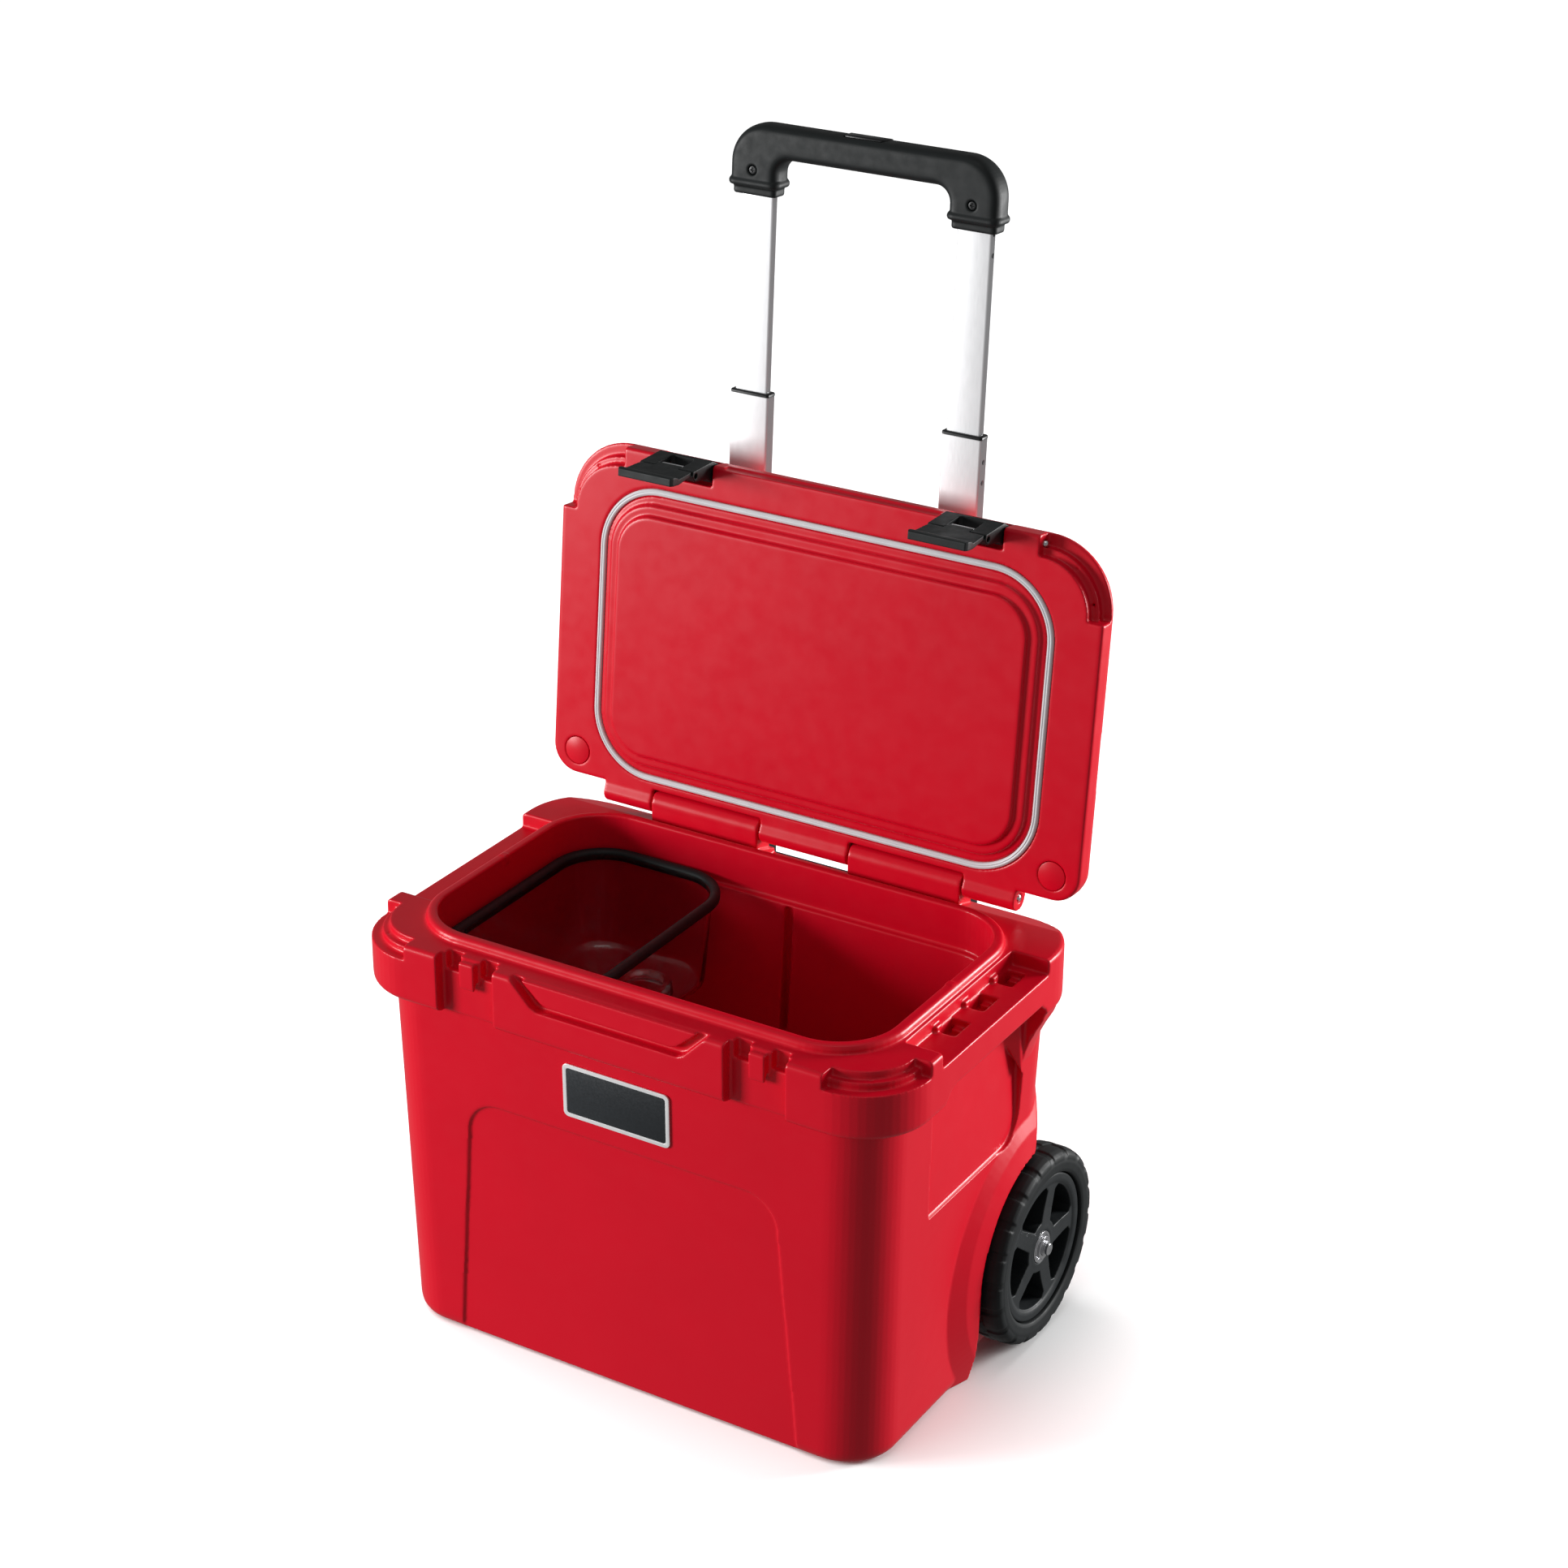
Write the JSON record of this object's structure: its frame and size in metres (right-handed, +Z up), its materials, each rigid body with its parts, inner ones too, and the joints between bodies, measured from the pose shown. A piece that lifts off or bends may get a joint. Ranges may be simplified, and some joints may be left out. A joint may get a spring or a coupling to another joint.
{
  "type": "wheeled cooler",
  "caption": "Hard-sided insulated cooler with a hinged lid, rubber pull latches, side hand holds, a telescoping tow handle, wheels and a lift-out basket.",
  "frame": {"origin": "on the ground, under the middle of the tub opening", "axes": "+X to the right seen from the front, +Y towards the back where the handle and wheels are, +Z up"},
  "size_m": [0.602, 0.4683, 1.1229],
  "materials": {
    "red_plastic": "satin",
    "insulation": "matte",
    "black_plastic": "satin",
    "black_rubber": "matte",
    "steel": "satin",
    "badge_border": "satin",
    "badge_face": "satin",
    "grey_gasket": "matte",
    "tube_aluminium": "satin",
    "wheel_tyre": "matte",
    "wheel_hub": "satin",
    "clear_plastic": "gloss"
  },
  "bodies": {
    "tub": {"tub_shell": "red_plastic", "tub_foam": "insulation", "tub_fill_plug": "red_plastic", "drain_seal": "black_rubber", "hinge_pin": "steel", "axle": "steel", "badge_rim": "badge_border", "badge_field": "badge_face", "sleeve_right": "tube_aluminium", "sleeve_left": "tube_aluminium", "sleeve_collar_right": "black_plastic", "sleeve_collar_left": "black_plastic", "bracket_upper": "black_plastic", "bracket_lower": "black_plastic", "bracket_screw_upper_0_right": "steel", "bracket_screw_upper_0_left": "steel", "bracket_screw_upper_1_right": "steel", "bracket_screw_upper_1_left": "steel", "bracket_screw_lower_2_right": "steel", "bracket_screw_lower_2_left": "steel", "axle_washer_right": "steel", "axle_washer_left": "steel"},
    "drain": {"drain_plug": "black_plastic"},
    "lid": {"lid_shell": "red_plastic", "lid_foam": "insulation", "lid_plug_right": "red_plastic", "lid_plug_left": "red_plastic", "lid_gasket": "grey_gasket", "latch_rod": "steel"},
    "latch_right": {"latch_body_right": "black_rubber", "latch_pin_right": "steel"},
    "latch_left": {"latch_body_left": "black_rubber", "latch_pin_left": "steel"},
    "tab_right": {"latch_tab_right": "black_rubber"},
    "tab_left": {"latch_tab_left": "black_rubber"},
    "handle_low": {"stage_low_right": "tube_aluminium", "stage_low_left": "tube_aluminium", "stage_low_collar_right": "black_plastic", "stage_low_collar_left": "black_plastic"},
    "handle_mid": {"stage_mid_right": "tube_aluminium", "stage_mid_left": "tube_aluminium", "stage_mid_collar_right": "black_plastic", "stage_mid_collar_left": "black_plastic"},
    "handle_top": {"stage_top_right": "tube_aluminium", "stage_top_left": "tube_aluminium", "grip": "black_rubber", "grip_screw_right": "steel", "grip_screw_left": "steel"},
    "button": {"release_button": "black_plastic"},
    "wheel_right": {"tyre_right": "wheel_tyre", "hub_right": "wheel_hub", "bearing_right": "steel"},
    "wheel_left": {"tyre_left": "wheel_tyre", "hub_left": "wheel_hub", "bearing_left": "steel"},
    "basket": {"basket_tub": "clear_plastic", "basket_rim": "black_rubber"}
  },
  "joints": [
    {"name": "lid_hinge", "type": "hinge", "parent": "tub", "child": "lid", "pos_m": [0, 0.172, 0.446], "axis": [1, 0, 0], "range_deg": [0, 95.8]},
    {"name": "latch_right_swing", "type": "hinge", "parent": "lid", "child": "latch_right", "pos_m": [0.1575, 0.20999, 0.79037], "axis": [1, 0, 0], "range_deg": [-75, 0]},
    {"name": "latch_left_swing", "type": "hinge", "parent": "lid", "child": "latch_left", "pos_m": [-0.1575, 0.20999, 0.79037], "axis": [1, 0, 0], "range_deg": [-75, 0]},
    {"name": "tab_right_flip", "type": "hinge", "parent": "latch_right", "child": "tab_right", "pos_m": [0.1575, 0.17847, 0.80157], "axis": [1, 0, 0], "range_deg": [-35, 0]},
    {"name": "tab_left_flip", "type": "hinge", "parent": "latch_left", "child": "tab_left", "pos_m": [-0.1575, 0.17847, 0.80157], "axis": [1, 0, 0], "range_deg": [-35, 0]},
    {"name": "handle_low_slide", "type": "slide", "parent": "tub", "child": "handle_low", "axis": [0, 0.0602, 0.9982], "range_m": [-0.185, 0]},
    {"name": "handle_mid_slide", "type": "slide", "parent": "handle_low", "child": "handle_mid", "axis": [0, 0.0602, 0.9982], "range_m": [-0.185, 0]},
    {"name": "handle_top_slide", "type": "slide", "parent": "handle_mid", "child": "handle_top", "axis": [0, 0.0602, 0.9982], "range_m": [-0.185, 0]},
    {"name": "release_button_press", "type": "slide", "parent": "handle_top", "child": "button", "axis": [0, 0.0602, 0.9982], "range_m": [-0.004, 0], "stiffness_N_per_m": 400},
    {"name": "wheel_right_spin", "type": "hinge", "parent": "tub", "child": "wheel_right", "pos_m": [0.2761, 0.1316, 0.0997], "axis": [1, 0, 0], "continuous": true},
    {"name": "wheel_left_spin", "type": "hinge", "parent": "tub", "child": "wheel_left", "pos_m": [-0.2761, 0.1316, 0.0997], "axis": [1, 0, 0], "continuous": true},
    {"name": "basket_lift", "type": "slide", "parent": "tub", "child": "basket", "axis": [0, 0, 1], "range_m": [0, 0.2]},
    {"name": "drain_plug_turn", "type": "hinge", "parent": "tub", "child": "drain", "pos_m": [0, 0.17, 0.054], "axis": [0, 1, 0], "range_deg": [0, 180]}
  ]
}
